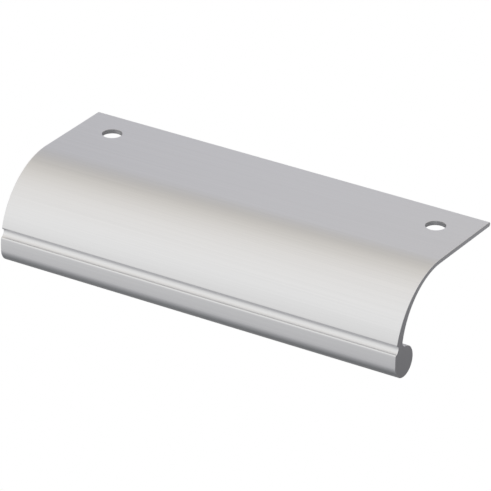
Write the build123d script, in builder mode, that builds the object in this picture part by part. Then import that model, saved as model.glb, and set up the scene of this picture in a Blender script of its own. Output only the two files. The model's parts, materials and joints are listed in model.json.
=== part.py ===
from build123d import *

import os
from math import asin, atan2, cos, degrees, hypot, sin, sqrt

# Refrigerator door handle: an extruded aluminium edge pull
#
# One length of aluminium profile. A thin level flange is screwed down on the edge of the door, an arm of
# growing thickness curves forwards and down from it, and a solid round bead closes the lower edge, where
# the fingers pull. A cove between the arm and the bead draws the dark line along the front.
#
# The section is drawn as the handle is fitted, with the flange level. The whole handle then stands as it
# would on a floor: hollow side down, resting on the flange's back edge and on the bead.

# Driving dimensions, in millimetres

length = 116.4
overall_drop = 25.1

flange_depth = 24.3
flange_thickness = 1.2

arm_reach = 20.6
arm_setback = 0.42
arm_lip_rounding = 0.5

cove_height = 2.0
cove_overhang = 0.8
cove_depth = 0.55

bead_diameter = 8.3
bead_lip_height = 3.35
bead_lip_setback = 0.12
bead_lip_rounding = 0.35

neck_offset = 1.1
neck_rounding = 1.4

screw_spacing = 96.0
screw_hole_diameter = 5.2
screw_hole_inset = 9.3

# Points of the section: x forwards from the back edge, y up from the flange's top

bead_radius = bead_diameter / 2
bead_front = Vector(flange_depth + arm_reach, bead_radius - overall_drop)
bead_centre = bead_front - Vector(bead_radius, 0)
bead_lip = bead_front + Vector(-bead_lip_setback, bead_lip_height)
arm_end = bead_lip + Vector(-arm_setback, cove_height)
cove_top = arm_end - Vector(cove_overhang, 0)
neck = bead_centre + Vector(neck_offset, sqrt(bead_radius**2 - neck_offset**2))

nose_radius = flange_thickness / 2
nose_centre = Vector(nose_radius, -nose_radius)
flange_end = Vector(flange_depth, 0)
underside_end = Vector(flange_depth, -flange_thickness)

# The floor touches the rounded back edge and the bead, so the section turns by the angle of the line that is
# tangent to both circles: the slope between their centres, and a little more because the bead is the larger

between = nose_centre - bead_centre
slope = atan2(between.Y, -between.X)
rest_angle = slope + asin((bead_radius - nose_radius) / hypot(between.X, between.Y))


def rested(point):
    """Where a section point comes to lie, from the section's own corner: across the floor, then up."""
    return Vector(
        -point.X * cos(rest_angle) + point.Y * sin(rest_angle),
        point.X * sin(rest_angle) + point.Y * cos(rest_angle),
    )


back_reach = rested(nose_centre).X + nose_radius
front_reach = rested(bead_centre).X - bead_radius
corner = Vector(0, -(back_reach + front_reach) / 2, nose_radius - rested(nose_centre).Y)

forwards = Vector(0, -cos(rest_angle), sin(rest_angle))
flange_normal = Vector(0, sin(rest_angle), cos(rest_angle))
section_plane = Plane(origin=corner, x_dir=forwards, z_dir=(-1, 0, 0))
screw_plane = Plane(origin=corner + forwards * screw_hole_inset, x_dir=(1, 0, 0), z_dir=flange_normal)

# Handle profile

with BuildPart() as handle_profile:
    with BuildSketch(section_plane) as section:
        with BuildLine():
            Line((nose_radius, 0), flange_end)
            TangentArc(flange_end, arm_end, tangent=(1, 0))
            Line(arm_end, cove_top)
            SagittaArc(cove_top, bead_lip, -cove_depth)
            TangentArc(bead_front, bead_lip, tangent=(0, 1))
            Polyline(bead_front, bead_centre, neck)
            TangentArc(underside_end, neck, tangent=(1, 0))
            Line(underside_end, (nose_radius, -flange_thickness))
            CenterArc(nose_centre, nose_radius, 90, 180)
        make_face()
        with Locations(bead_centre):
            Circle(bead_radius)
        for place, rounding in (
            (arm_end, arm_lip_rounding),
            (bead_lip, bead_lip_rounding),
            (neck, neck_rounding),
        ):
            fillet(section.vertices().sort_by_distance(place)[0], rounding)
    extrude(amount=length / 2, both=True)
    with Locations(screw_plane):
        with GridLocations(screw_spacing, 0, 2, 1):
            Hole(radius=screw_hole_diameter / 2, depth=flange_thickness)

handle_profile.part.label = "handle_profile"

os.makedirs("parts", exist_ok=True)
export_step(handle_profile.part, "parts/handle_profile.step")

print("rest angle in degrees:", round(degrees(rest_angle), 3))
print("box:", handle_profile.part.bounding_box())
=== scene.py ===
# %% [markdown]
# An aluminium edge pull, step by step
#
# The object is a refrigerator door handle cut from one extruded profile: a thin flange with two screw holes,
# a curved arm, a cove, and a round bead for the fingers. It lies hollow side down on a pale floor. The packed
# CAD model gives its size and place, and this lesson gives it a smooth skin, a satin finish and sawn ends.

# %% Load the frame
import json
from math import atan2, cos, degrees, hypot, pi, radians, sin, sqrt

import bmesh
import bpy
import numpy as np
from mathutils import Matrix, Vector


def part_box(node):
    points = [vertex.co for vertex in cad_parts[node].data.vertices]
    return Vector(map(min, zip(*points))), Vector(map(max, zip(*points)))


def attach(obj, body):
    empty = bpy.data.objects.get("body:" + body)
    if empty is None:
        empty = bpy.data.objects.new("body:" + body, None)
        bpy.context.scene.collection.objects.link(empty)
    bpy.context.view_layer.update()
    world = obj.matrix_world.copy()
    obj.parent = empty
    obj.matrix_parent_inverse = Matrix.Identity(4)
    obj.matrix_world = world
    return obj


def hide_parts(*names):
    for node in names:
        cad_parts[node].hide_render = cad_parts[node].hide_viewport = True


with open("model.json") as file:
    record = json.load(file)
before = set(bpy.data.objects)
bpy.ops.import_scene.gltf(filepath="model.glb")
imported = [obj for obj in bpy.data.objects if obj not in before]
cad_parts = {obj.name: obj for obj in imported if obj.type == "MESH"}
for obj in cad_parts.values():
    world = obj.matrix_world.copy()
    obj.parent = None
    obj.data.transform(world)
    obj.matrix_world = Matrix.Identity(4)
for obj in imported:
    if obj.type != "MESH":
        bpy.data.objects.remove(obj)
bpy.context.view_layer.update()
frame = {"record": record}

handle_low, handle_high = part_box("handle_profile")
print("handle box in mm:", [round(1000 * (b - a), 2) for a, b in zip(handle_low, handle_high)])

# %% [markdown]
# The section
#
# An extrusion is one outline pulled along a line, so its outline is the whole design. The real one comes out
# of a steel die. Here it could be traced or read back from the CAD mesh, but a few arcs say it exactly and
# can be drawn as finely as a smooth highlight needs. Sizes are in millimetres: x forwards from the flange's
# back edge, y up from its top.

# %% Sizes of the section
MM = 0.001
LENGTH = (handle_high[0] - handle_low[0]) / MM

FLANGE_DEPTH = 24.3
FLANGE_THICKNESS = 1.2
DROP = 25.1
ARM_REACH = 20.6
ARM_SETBACK = 0.42
ARM_LIP_ROUNDING = 0.5
COVE_HEIGHT = 2.0
COVE_OVERHANG = 0.8
COVE_DEPTH = 0.55
BEAD_RADIUS = 4.15
BEAD_LIP_HEIGHT = 3.35
BEAD_LIP_SETBACK = 0.12
BEAD_LIP_ROUNDING = 0.35
NECK_OFFSET = 1.1
NECK_ROUNDING = 1.4

SCREW_SPACING = 96.0
SCREW_HOLE_RADIUS = 2.6
SCREW_HOLE_INSET = 9.3

nose_radius = FLANGE_THICKNESS / 2
bead_front = np.array([FLANGE_DEPTH + ARM_REACH, BEAD_RADIUS - DROP])
bead_centre = bead_front - (BEAD_RADIUS, 0)
bead_lip = bead_front + (-BEAD_LIP_SETBACK, BEAD_LIP_HEIGHT)
arm_end = bead_lip + (-ARM_SETBACK, COVE_HEIGHT)
cove_top = arm_end + (-COVE_OVERHANG, 0)
neck = bead_centre + (NECK_OFFSET, sqrt(BEAD_RADIUS**2 - NECK_OFFSET**2))
print("front to back", bead_front[0], "mm, arm ends at", arm_end.round(2), "neck at", neck.round(2))

# %% [markdown]
# Arcs
#
# Every curve of the outline is part of a circle, fixed in the way that suits it. Both faces of the arm leave
# the flange level, and the bead's face ends upright. The cove is fixed by how deep it goes behind the line
# between its lips. The bead and the rounded back edge are fixed by their centres.

# %% Curved stretches of the outline
FINE = 3000  # points in a stretch at first; the skin later takes only as many as it needs


def circle_arc(centre, radius, first, last, count):
    """Points centre + radius (cos t, sin t), with t running evenly from the first to the last angle."""
    t = np.radians(np.linspace(first, last, count))
    return np.array(centre) + radius * np.column_stack([np.cos(t), np.sin(t)])


def angle_of(point, centre):
    """The direction from centre to point, in degrees."""
    return degrees(atan2(point[1] - centre[1], point[0] - centre[0]))


def level_arc(start, end):
    """The circle that leaves start level and drops to end: radius (dx² + dy²) / 2dy, centre below start."""
    dx, dy = end[0] - start[0], start[1] - end[1]
    radius = (dx**2 + dy**2) / (2 * dy)
    return circle_arc((start[0], start[1] - radius), radius, 90, 90 - degrees(2 * atan2(dy, dx)), FINE)


def steep_arc(start, end):
    """The circle that ends heading straight down: radius (dx² + dy²) / 2dx, centre level with the end."""
    dx, dy = end[0] - start[0], start[1] - end[1]
    radius = (dx**2 + dy**2) / (2 * dx)
    return circle_arc((end[0] - radius, end[1]), radius, degrees(2 * atan2(dx, dy)), 0, FINE)


def hollow_arc(start, end, depth):
    """The circle through both ends, depth behind their chord: radius (h² + depth²) / 2depth, h its half."""
    chord = np.array(end) - start
    half = hypot(*chord) / 2
    radius = (half**2 + depth**2) / (2 * depth)
    outwards = np.array([-chord[1], chord[0]]) / (2 * half)
    centre = (np.array(start) + end) / 2 + outwards * (radius - depth)
    first, last = angle_of(start, centre), angle_of(end, centre)
    return circle_arc(centre, radius, first, last + 360 if last < first else last, FINE)


arm_face = level_arc((FLANGE_DEPTH, 0), arm_end)
lip_underside = np.linspace(arm_end, cove_top, FINE)
cove = hollow_arc(cove_top, bead_lip, COVE_DEPTH)
bead_face = steep_arc(bead_lip, bead_front)
bead = circle_arc(bead_centre, BEAD_RADIUS, 0, angle_of(neck, bead_centre) - 360, FINE)
arm_back = level_arc((FLANGE_DEPTH, -FLANGE_THICKNESS), neck)[::-1]
nose = circle_arc((nose_radius, -nose_radius), nose_radius, 270, 90, 25)
print("the arm's face drops", round(-arm_face[-1, 1], 2), "mm and its back", round(-arm_back[0, 1], 2), "mm")

# %% [markdown]
# Soft lips
#
# No extruded edge is knife sharp. Under the arm's lip runs a thin dark line, and along the bead's lip a thin
# light one: each is the rounding of an edge. A Bevel modifier could do it, but here a ball is rolled along
# the inside of both stretches of the outline, and the arc between the two places it touches bridges the
# corner. For the hollow corner behind the bead, the ball rolls along the outside.

# %% Round three corners of the outline
def inwards(points):
    """Unit normals of a run of points, to the right of its way: the tangent (x, y) turned to (y, -x)."""
    tangent = np.gradient(points, axis=0)
    return np.column_stack([tangent[:, 1], -tangent[:, 0]]) / np.hypot(*tangent.T)[:, None]


def round_corner(before, after, radius, count):
    """The ball's centre is where both stretches cross once shifted inwards by its radius."""
    inner_before, inner_after = before + radius * inwards(before), after + radius * inwards(after)
    gap = np.hypot(*(inner_before[:, None] - inner_after).transpose(2, 0, 1))
    last, first = np.unravel_index(gap.argmin(), gap.shape)
    centre = (inner_before[last] + inner_after[first]) / 2
    start, end = angle_of(before[last], centre), angle_of(after[first], centre)
    turn = (end - start + 180) % 360 - 180
    print("a rounding of", abs(radius), "mm turns by", round(abs(turn), 1), "degrees")
    return before[:last], circle_arc(centre, abs(radius), start, start + turn, count), after[first + 1:]


arm_face, arm_lip, lip_underside = round_corner(arm_face, lip_underside, ARM_LIP_ROUNDING, 20)
cove, soft_lip, bead_face = round_corner(cove, bead_face, BEAD_LIP_ROUNDING, 12)
bead, neck_fillet, arm_back = round_corner(bead, arm_back, -NECK_ROUNDING, 24)

# %% [markdown]
# Windows for the holes
#
# The skin is a grid: stations along the length by points round the section. A round hole doesn't fit a square
# grid, so the grid leaves out a square window round each hole, and a patch fills it whose lines run from the
# square to the circle. Both must share the same edge points, so the grid gets a line at each of them. A line
# close beside each end of a flat face keeps the face flat up to there.

# %% Lines of the grid
RIM_POINTS = 96
WINDOW = 4.2  # half the window's side
EDGE_EASING = 0.05
SUPPORT = 0.15  # from an edge to the line that supports it
BEHIND_WINDOWS, AHEAD_OF_WINDOWS = 3.0, 18.0  # one more line on either side of the windows
STATION_STEP = 6.0  # between the stations from one window to the other

side_steps = WINDOW * np.tan(np.radians(np.linspace(-45, 45, RIM_POINTS // 4 + 1)))
screw_x = (-SCREW_SPACING / 2, SCREW_SPACING / 2)

flat_lines = np.concatenate([
    [nose_radius, nose_radius + SUPPORT, BEHIND_WINDOWS],
    SCREW_HOLE_INSET + side_steps,
    [AHEAD_OF_WINDOWS, FLANGE_DEPTH - SUPPORT, FLANGE_DEPTH],
])
end_station = LENGTH / 2 - EDGE_EASING
stations = np.concatenate([
    [-LENGTH / 2, -end_station, -end_station + SUPPORT],
    screw_x[0] + side_steps,
    STATION_STEP * np.arange(-6, 7),
    screw_x[1] + side_steps,
    [end_station - SUPPORT, end_station, LENGTH / 2],
])
print(len(stations), "stations,", len(flat_lines), "lines across the flange")

# %% The whole outline
def thinned(points, count):
    """Count points of a fine run, evenly spread over its numbers, with both ends kept."""
    return points[np.linspace(0, len(points) - 1, count).round().astype(int)]


top = np.column_stack([flat_lines, np.zeros_like(flat_lines)])
underside = np.column_stack([flat_lines[::-1], np.full_like(flat_lines, -FLANGE_THICKNESS)])
outline = np.vstack([
    top, thinned(arm_face, 120)[1:], arm_lip,
    thinned(lip_underside, 3), thinned(cove, 40)[1:], soft_lip,
    thinned(bead_face, 14), thinned(bead, 150)[1:], neck_fillet,
    thinned(arm_back, 90), underside[1:], nose[1:-1],
])
print("outline of", len(outline), "points")

# %% [markdown]
# From outline to skin
#
# The outline is repeated at each station. At the two ends it is first drawn a twentieth of a millimetre
# smaller, which leaves the small eased edge that a sawn and deburred end has. Neighbouring points are joined
# into four-sided faces, as whole arrays.

# %% Skin of the profile
def inset(points, distance):
    """The closed outline moved inwards: each point by distance, at right angles to its neighbours' line."""
    tangent = np.roll(points, -1, axis=0) - np.roll(points, 1, axis=0)
    normal = np.column_stack([tangent[:, 1], -tangent[:, 0]]) / np.hypot(*tangent.T)[:, None]
    return points + distance * normal


def grid_faces(rows, columns):
    """Corner numbers of the faces of a grid whose columns close: (i, j), (i+1, j), (i+1, j+1), (i, j+1)."""
    i, j = np.meshgrid(np.arange(rows - 1), np.arange(columns), indexing="ij")
    k = (j + 1) % columns
    return np.stack([i * columns + j, (i + 1) * columns + j, (i + 1) * columns + k, i * columns + k], axis=-1)


def skin():
    """Points (station, x, y) for each station and outline point, and the faces outside the holes' windows."""
    drawn = np.repeat(outline[None], len(stations), axis=0)
    drawn[[0, -1]] = inset(outline, EDGE_EASING)
    along = np.broadcast_to(stations[:, None, None], (*drawn.shape[:2], 1))
    points = np.concatenate([along, drawn], axis=-1).reshape(-1, 3)
    faces = grid_faces(*drawn.shape[:2])
    middle = points[faces].mean(axis=2)
    beside = np.abs(np.abs(middle[..., 0]) - SCREW_SPACING / 2) < WINDOW
    across = np.abs(middle[..., 1] - SCREW_HOLE_INSET) < WINDOW  # of the section, only the flange is here
    return points, faces[~(beside & across)]


skin_points, skin_faces = skin()
left_end = np.arange(len(outline))
right_end = left_end[::-1] + (len(stations) - 1) * len(outline)
print("skin of", len(skin_faces), "faces, and an end face of", len(outline), "corners at each end")

# %% [markdown]
# A drilled hole
#
# The hole is one more grid of two parameters: the angle round it, and the step from the window's square edge
# down through the hole to the square on the underside. The drill leaves a small eased edge at both mouths,
# which catches the light as a thin ring. A Boolean modifier would cut the hole in one step, but it leaves
# long thin faces round the rim, and they shade unevenly on metal.

# %% Patch with a hole
SATIN, SAWN, DRILLED = range(3)  # the finish of a face, in the order of the mesh's materials
FLAT_RINGS, MOUTH_RINGS = 5, 6
RING_CROWDING = 0.8  # below 1, the rings on the flat stand closer together near the hole


def drilled_patch(centre_x):
    """Along each angle: (1 - s) square + s circle on top, over the mouth, down the wall, and back below."""
    t = np.radians(np.linspace(-45, 315, RIM_POINTS, endpoint=False))
    circle = np.column_stack([np.cos(t), np.sin(t)])
    square = circle / np.abs(circle).max(axis=1, keepdims=True) * WINDOW
    mouth = np.radians(np.linspace(0, 90, MOUTH_RINGS))
    mouth_radius = SCREW_HOLE_RADIUS + EDGE_EASING * (1 - np.sin(mouth))
    mouth_depth = -EDGE_EASING * (1 - np.cos(mouth))
    blend = np.linspace(0, 1, FLAT_RINGS, endpoint=False)[:, None, None] ** RING_CROWDING
    half = np.concatenate([
        (1 - blend) * square + blend * mouth_radius[0] * circle,
        mouth_radius[:, None, None] * circle,
    ])
    depth = np.concatenate([np.zeros(FLAT_RINGS), mouth_depth])
    rows = np.concatenate([half, half[::-1]])
    heights = np.concatenate([depth, -FLANGE_THICKNESS - depth[::-1]])
    points = np.concatenate([rows, np.broadcast_to(heights[:, None, None], (*rows.shape[:2], 1))], axis=-1)
    points += (centre_x, SCREW_HOLE_INSET, 0)
    step = np.arange(len(rows) - 1)
    finish = np.where((step >= FLAT_RINGS) & (step < len(rows) - 1 - FLAT_RINGS), DRILLED, SATIN)
    faces = grid_faces(*rows.shape[:2]).reshape(-1, 4)
    return points.reshape(-1, 3), faces, np.repeat(finish, RIM_POINTS)


patches = [drilled_patch(x) for x in screw_x]
print("a patch of", len(patches[0][1]), "faces round each hole")

# %% [markdown]
# From the section to the floor
#
# The section was drawn with the flange level. On the floor the handle leans, and the record says by how much:
# the screw holes' axis points out of the flange. The rounded back edge and the bead both touch the floor, so
# the back edge's circle fixes the rest.

# %% Turn the section to its place
screws = next(mount for mount in frame["record"]["mounts"] if mount["name"] == "screw_holes")
flange_up = np.array(screws["axis"])
flange_forwards = -np.cross(flange_up, (1, 0, 0))
back_edge = np.array([0, handle_high[1], handle_low[2]]) / MM + (0, -nose_radius, nose_radius)
corner = back_edge - nose_radius * flange_forwards + nose_radius * flange_up
lean = degrees(atan2(flange_forwards[2], -flange_forwards[1]))
print("the flange leans by", round(lean, 2), "degrees")


def placed(points):
    """Section points (station, x, y) in the frame: corner + x forwards + y up, from millimetres to metres."""
    along, across, up = points[:, :1], points[:, 1:2], points[:, 2:]
    return (corner + along * (1, 0, 0) + across * flange_forwards + up * flange_up) * MM


# %% [markdown]
# One closed mesh
#
# Skin, ends and patches meet at shared edge points. Once the doubled points are merged they make one closed
# solid, whose volume can be checked against the CAD. Shading is smooth, except across the edges that turn by
# more than 30 degrees.

# %% Join the surfaces
WELD_DISTANCE = 0.001 * MM
SHARP_ANGLE = radians(30)


def joined_mesh(name, surfaces):
    """One mesh from (points, faces, finish) surfaces, with the doubled points along their seams merged."""
    mesh = bpy.data.meshes.new(name)
    first = np.cumsum([0] + [len(points) for points, _, _ in surfaces])
    points = np.concatenate([points for points, _, _ in surfaces])
    faces = sum(((corners + start).tolist() for start, (_, corners, _) in zip(first, surfaces)), [])
    finish = np.concatenate([np.broadcast_to(finish, len(corners)) for _, corners, finish in surfaces])
    mesh.from_pydata(placed(points), [], faces)
    mesh.polygons.foreach_set("material_index", finish.astype(np.int32))
    work = bmesh.new()
    work.from_mesh(mesh)
    bmesh.ops.remove_doubles(work, verts=work.verts, dist=WELD_DISTANCE)
    bmesh.ops.recalc_face_normals(work, faces=work.faces)
    open_edges = sum(not edge.is_manifold for edge in work.edges)
    print(name, "open edges:", open_edges, "volume in mm³:", round(work.calc_volume() / MM**3, 1))
    work.to_mesh(mesh)
    work.free()
    return mesh


profile_skin = (skin_points, skin_faces, SATIN)
sawn_ends = (skin_points, np.stack([left_end, right_end]), SAWN)
handle_mesh = joined_mesh("handle_skin", [profile_skin, sawn_ends, *patches])
handle = bpy.data.objects.new("handle_skin", handle_mesh)
bpy.context.scene.collection.objects.link(handle)
handle_mesh.polygons.foreach_set("use_smooth", np.ones(len(handle_mesh.polygons), dtype=bool))
handle_mesh.set_sharp_from_angle(angle=SHARP_ANGLE)

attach(handle, "root")
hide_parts("handle_profile")
print(len(handle_mesh.polygons), "faces")

# %% [markdown]
# Materials
#
# A material is a tree of nodes, built with one small helper. Colours are written as sRGB hex values, as a
# picker shows them, and turned linear before they reach a shader.

# %% Helpers for materials
def linear(hex_colour):
    """An sRGB hex colour, linear: ((v + 0.055) / 1.055) ^ 2.4 for v above 0.04045, otherwise v / 12.92."""
    srgb = np.array([int(hex_colour[k:k + 2], 16) for k in (1, 3, 5)]) / 255
    return (*np.where(srgb > 0.04045, ((srgb + 0.055) / 1.055) ** 2.4, srgb / 12.92), 1.0)


def add(tree, kind, links=(), **settings):
    """Adds a node, sets its inputs or attributes by name, and links (socket, output) pairs into it."""
    node = tree.nodes.new(kind)
    for name, value in settings.items():
        socket = name.replace("_", " ").title()
        if socket in node.inputs:
            node.inputs[socket].default_value = value
        else:
            setattr(node, name, value)
    for socket, output in links:
        tree.links.new(output, node.inputs[socket])
    return node


def new_material(name):
    """A node material that is still empty, and its tree."""
    material = bpy.data.materials.new(name)
    material.use_nodes = True
    material.node_tree.nodes.clear()
    return material, material.node_tree


def show(material, shader):
    """Links a shader to the material's surface, and says how many nodes the material has."""
    add(material.node_tree, "ShaderNodeOutputMaterial", [("Surface", shader.outputs[0])])
    print(material.name, "has", len(material.node_tree.nodes), "nodes")


# %% [markdown]
# Satin anodised aluminium
#
# The profile leaves the press bright, with fine lines from the die all along it. It is etched matt, which
# opens the surface to a frost of small pits, and anodised clear, which seals it. So the eye gets broad soft
# tones and no mirror image, and the lines are left as a faint sheen. A brushed-metal picture would do for one
# view. Noise drawn out along the length does for all of them.

# %% Satin finish
DIE_LINE_SPACING = 0.35
DIE_LINE_LENGTH = 90.0
ETCH_GRAIN = 0.8  # the real frost is near 0.02 mm, too fine to show, so it is drawn coarser and fainter
RELIEF_DEPTH = 0.05 * MM

satin, tree = new_material("satin_anodised_aluminium")
place = add(tree, "ShaderNodeTexCoord").outputs["Object"]
line_scale = [1 / (size * MM) for size in (DIE_LINE_LENGTH, DIE_LINE_SPACING, DIE_LINE_SPACING)]
drawn_out = add(tree, "ShaderNodeMapping", [("Vector", place)], scale=line_scale)
die_lines = add(
    tree, "ShaderNodeTexNoise", [("Vector", drawn_out.outputs["Vector"])],
    scale=1.0, detail=3.0, roughness=0.6,
)
relief = add(
    tree, "ShaderNodeBump", [("Height", die_lines.outputs["Fac"])], strength=0.06, distance=RELIEF_DEPTH,
)
frost = add(
    tree, "ShaderNodeTexNoise", [("Vector", place)], scale=1 / (ETCH_GRAIN * MM), detail=4.0, roughness=0.7,
)
sheen = add(
    tree, "ShaderNodeMapRange", [("Value", frost.outputs["Fac"])],
    from_min=0.3, from_max=0.7, to_min=0.285, to_max=0.315,
)
metal = add(tree, "ShaderNodeValToRGB", [("Fac", die_lines.outputs["Fac"])])
metal.color_ramp.elements[0].color = linear("#E1E1E3")
metal.color_ramp.elements[1].color = linear("#EBEBED")
into_shader = [
    ("Base Color", metal.outputs["Color"]),
    ("Roughness", sheen.outputs["Result"]),
    ("Normal", relief.outputs["Normal"]),
]
show(satin, add(tree, "ShaderNodeBsdfPrincipled", into_shader, metallic=1.0))

# %% [markdown]
# Sawn ends
#
# The length is cut after anodising, with a large fine-toothed circular saw, and barely deburred. The blade's
# path leaves shallow curved marks, all round one far centre, so each end looks a little rougher than the
# skin. A ring wave whose centre lies where the blade's axle was gives the marks their curve.

# %% Sawn finish
WAVE_LENGTH = pi / 10  # of a Wave Texture at scale 1
SAW_MARK_SPACING = 0.45
BLADE_AXLE = (0, -150 * MM, 120 * MM)

sawn, tree = new_material("sawn_aluminium")
place = add(tree, "ShaderNodeTexCoord").outputs["Object"]
from_axle = add(tree, "ShaderNodeMapping", [("Vector", place)], location=[-value for value in BLADE_AXLE])
saw_marks = add(
    tree, "ShaderNodeTexWave", [("Vector", from_axle.outputs["Vector"])],
    wave_type="RINGS", rings_direction="X",
    scale=WAVE_LENGTH / (SAW_MARK_SPACING * MM), distortion=3.0, detail=3.0,
)
relief = add(
    tree, "ShaderNodeBump", [("Height", saw_marks.outputs["Fac"])], strength=0.1, distance=RELIEF_DEPTH,
)
show(sawn, add(
    tree, "ShaderNodeBsdfPrincipled", [("Normal", relief.outputs["Normal"])],
    base_color=linear("#E2E2E4"), metallic=1.0, roughness=0.36,
))

# %% [markdown]
# Drilled walls
#
# The screw holes are drilled after anodising, so their walls are bare metal with fine rings from the drill's
# lips, one above the other. Bands across the hole's own axis give the rings. The handle leans, so a Mapping
# node first turns the flange level.

# %% Drilled finish
DRILL_RING_SPACING = 0.3  # real rings are near 0.1 mm apart, too fine to show

drilled, tree = new_material("drilled_aluminium")
place = add(tree, "ShaderNodeTexCoord").outputs["Object"]
levelled = add(tree, "ShaderNodeMapping", [("Vector", place)], rotation=(radians(lean), 0, 0))
rings = add(
    tree, "ShaderNodeTexWave", [("Vector", levelled.outputs["Vector"])],
    wave_type="BANDS", bands_direction="Z",
    scale=WAVE_LENGTH / (DRILL_RING_SPACING * MM), distortion=1.0, detail=2.0,
)
relief = add(
    tree, "ShaderNodeBump", [("Height", rings.outputs["Fac"])], strength=0.1, distance=RELIEF_DEPTH,
)
show(drilled, add(
    tree, "ShaderNodeBsdfPrincipled", [("Normal", relief.outputs["Normal"])],
    base_color=linear("#C9C9CB"), metallic=1.0, roughness=0.5,
))

for material in (satin, sawn, drilled):
    handle_mesh.materials.append(material)

# %% [markdown]
# The floor
#
# The handle is photographed on white that is as bright as the paper it is printed on, with no shadow. A white
# sheet lit from below does that in a studio, and here a plane that glows evenly. The tent of the next step
# stands for all the light that reaches the handle, so the floor is seen by the camera only.

# %% Floor
FLOOR_REACH = 3.0
FLOOR_GAP = 0.2 * MM  # keeps the floor and the faces that touch it apart

floor_mesh = bpy.data.meshes.new("floor")
floor_corners = [(x * FLOOR_REACH, y * FLOOR_REACH, 0) for x, y in ((-1, -1), (1, -1), (1, 1), (-1, 1))]
floor_mesh.from_pydata(floor_corners, [], [(0, 1, 2, 3)])
floor = bpy.data.objects.new("floor", floor_mesh)
bpy.context.scene.collection.objects.link(floor)
floor.location.z = handle_low[2] - FLOOR_GAP
acrylic, tree = new_material("white_acrylic_sheet")
show(acrylic, add(tree, "ShaderNodeEmission", color=linear("#FFFFFF"), strength=1.0))
floor_mesh.materials.append(acrylic)
floor.visible_glossy = floor.visible_diffuse = floor.visible_shadow = False

# %% [markdown]
# The light
#
# Satin metal has hardly a tone of its own: it shows what stands round it, blurred. Such parts are
# photographed in a tent of white cloth that is lit from outside. Lamps in the scene would do, but every edge
# of every lamp would show in the bead. Here the tent is a wide tube round the handle that glows by itself.
# Each angle round the tube has its tone, counted in degrees from straight above the flange, over the front
# and down. The tent hangs a little askew, so its bright side runs at an angle to the handle. Two soft folds
# in the cloth are darker than the rest: one behind the left end, and one on the ground.

# %% Light tent
TENT_RADIUS, TENT_LENGTH = 0.4, 3.0
TENT_ANGLES, TENT_STATIONS = 144, 61
TENT_SKEW = 55  # degrees round the tube for each metre along it
TOP_SKEW = 0.75  # the share by which the roof hangs more askew than the front, and the ground less
FOLD_TURN, FOLD_REACH = 12, 0.16  # how widely a fold fades out: degrees round the tube, metres along it
FOLDS = (  # the middle of each fold, round the tube and along it, and the share of the light it takes away
    (-46, -0.42, 0.3),  # behind the left end: the start of the arm
    (172, 0.0, 0.4),  # on the ground: the right end of the bead's lower half
)
TONES = {
    -150: "#888888",  # the ground behind: the bead's last rim before it turns out of sight
    -120: "#282828",  # the open gap behind the back wall, which shows only from behind
    -90: "#CECED2",  # the back wall, a little blue: the flange
    -70: "#D6D6DA",
    -50: "#C6C2BA",  # the seam where wall and roof meet: the darker stripe where the arm begins
    -35: "#E4E0D8",  # the roof, a little warm: the arm's upper half
    0: "#F8F6F2",
    50: "#FCFCFA",  # the front, where the lamps stand: the arm's bright half
    85: "#ECECEA",
    110: "#CCCCCC",  # the front's lower hem: the bead's face
    125: "#BABABC",
    140: "#98999A",
    170: "#747678",  # the ground in front: the bead's lower half
}


def tent_tones(angle, x):
    """Linear colour of the cloth: TONES at angle + skew x (1 + top skew cos angle), less the folds.

    A fold takes away share exp(-(degrees from its middle / fold turn)^2 - (metres from it / fold reach)^2).
    """
    read_at = angle + TENT_SKEW * x * (1 + TOP_SKEW * np.cos(np.radians(angle)))
    table = np.array([linear(tone) for tone in TONES.values()])
    tones = np.column_stack([np.interp(read_at, list(TONES), column, period=360) for column in table.T])
    for fold_angle, fold_x, share in FOLDS:
        from_fold = (angle - fold_angle + 180) % 360 - 180
        faded = np.exp(-(from_fold / FOLD_TURN) ** 2 - ((x - fold_x) / FOLD_REACH) ** 2)
        tones *= 1 - share * faded[:, None]
    return tones


# %% Tube of cloth
turn, along_tent = np.meshgrid(
    np.linspace(0, 360, TENT_ANGLES, endpoint=False),
    np.linspace(-TENT_LENGTH / 2, TENT_LENGTH / 2, TENT_STATIONS),
)
turn, along_tent = turn.ravel(), along_tent.ravel()
ahead, overhead = np.sin(np.radians(turn)), np.cos(np.radians(turn))
round_tube = np.outer(ahead, flange_forwards) + np.outer(overhead, flange_up)
tent_mesh = bpy.data.meshes.new("light_tent")
tent_faces = grid_faces(TENT_STATIONS, TENT_ANGLES).reshape(-1, 4).tolist()
tent_mesh.from_pydata(np.outer(along_tent, (1, 0, 0)) + TENT_RADIUS * round_tube, [], tent_faces)
tone = tent_mesh.color_attributes.new("tone", "FLOAT_COLOR", "POINT")
tone.data.foreach_set("color", tent_tones(turn, along_tent).ravel())
tent = bpy.data.objects.new("light_tent", tent_mesh)
bpy.context.scene.collection.objects.link(tent)
cloth, tree = new_material("tent_cloth")
cloth_tone = add(tree, "ShaderNodeAttribute", attribute_name="tone")
show(cloth, add(tree, "ShaderNodeEmission", [("Color", cloth_tone.outputs["Color"])], strength=1.0))
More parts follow.
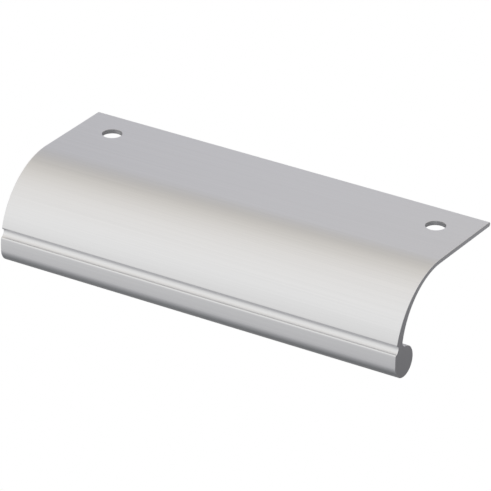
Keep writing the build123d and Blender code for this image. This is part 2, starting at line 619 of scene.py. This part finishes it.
cloth.cycles.emission_sampling = "NONE"  # almost every ray finds the cloth by itself, so none is aimed at it
tent_mesh.materials.append(cloth)
tent.visible_camera = False
print("the tent is", 2 * TENT_RADIUS, "m wide and has", len(tent_faces), "faces")

# %% White beyond the floor's edge and at the tent's open ends
world = bpy.data.worlds.new("studio")
bpy.context.scene.world = world
world.use_nodes = True
background = world.node_tree.nodes["Background"]
background.inputs["Color"].default_value = linear("#FFFFFF")
print("the world glows with strength", background.inputs["Strength"].default_value)

# %% [markdown]
# The camera
#
# Product pictures of small parts are taken from far off with a long lens, so that parallel edges stay nearly
# parallel. The camera's place is given as a photographer would: how far round from straight in front, how
# far up from the flange's own plane, how far away, and what it looks at. All of it is measured from the
# flange, so it stays right however the handle leans. The Standard view transform leaves white as white.

# %% Camera
AZIMUTH, ELEVATION, ROLL = 32.33, 26.84, 0.37
LENS, SENSOR = 357.2, 36.0
DISTANCE = 1219.0  # from the aim, in millimetres
AIM = (0.83, 22.31, -13.05)  # along the handle, forwards from the flange's back edge, and up from its top

azimuth, elevation, roll = (radians(angle) for angle in (AZIMUTH, ELEVATION, ROLL))
along, forwards, up = Vector((1, 0, 0)), Vector(flange_forwards), Vector(flange_up)
level_view = sin(azimuth) * along + cos(azimuth) * forwards
to_camera = cos(elevation) * level_view + sin(elevation) * up
right = cos(azimuth) * along - sin(azimuth) * forwards
above = to_camera.cross(right)
pose = Matrix((
    cos(roll) * right + sin(roll) * above,
    cos(roll) * above - sin(roll) * right,
    to_camera,
)).transposed().to_4x4()
aim = Vector(corner) + AIM[0] * along + AIM[1] * forwards + AIM[2] * up
pose.translation = (aim + DISTANCE * to_camera) * MM

camera = bpy.data.cameras.new("camera")
camera.lens, camera.sensor_width = LENS, SENSOR
viewer = bpy.data.objects.new("camera", camera)
bpy.context.scene.collection.objects.link(viewer)
viewer.matrix_world = pose
bpy.context.scene.camera = viewer
bpy.context.scene.view_settings.view_transform = "Standard"
print("the camera stands at", [round(value, 3) for value in pose.translation], "m")
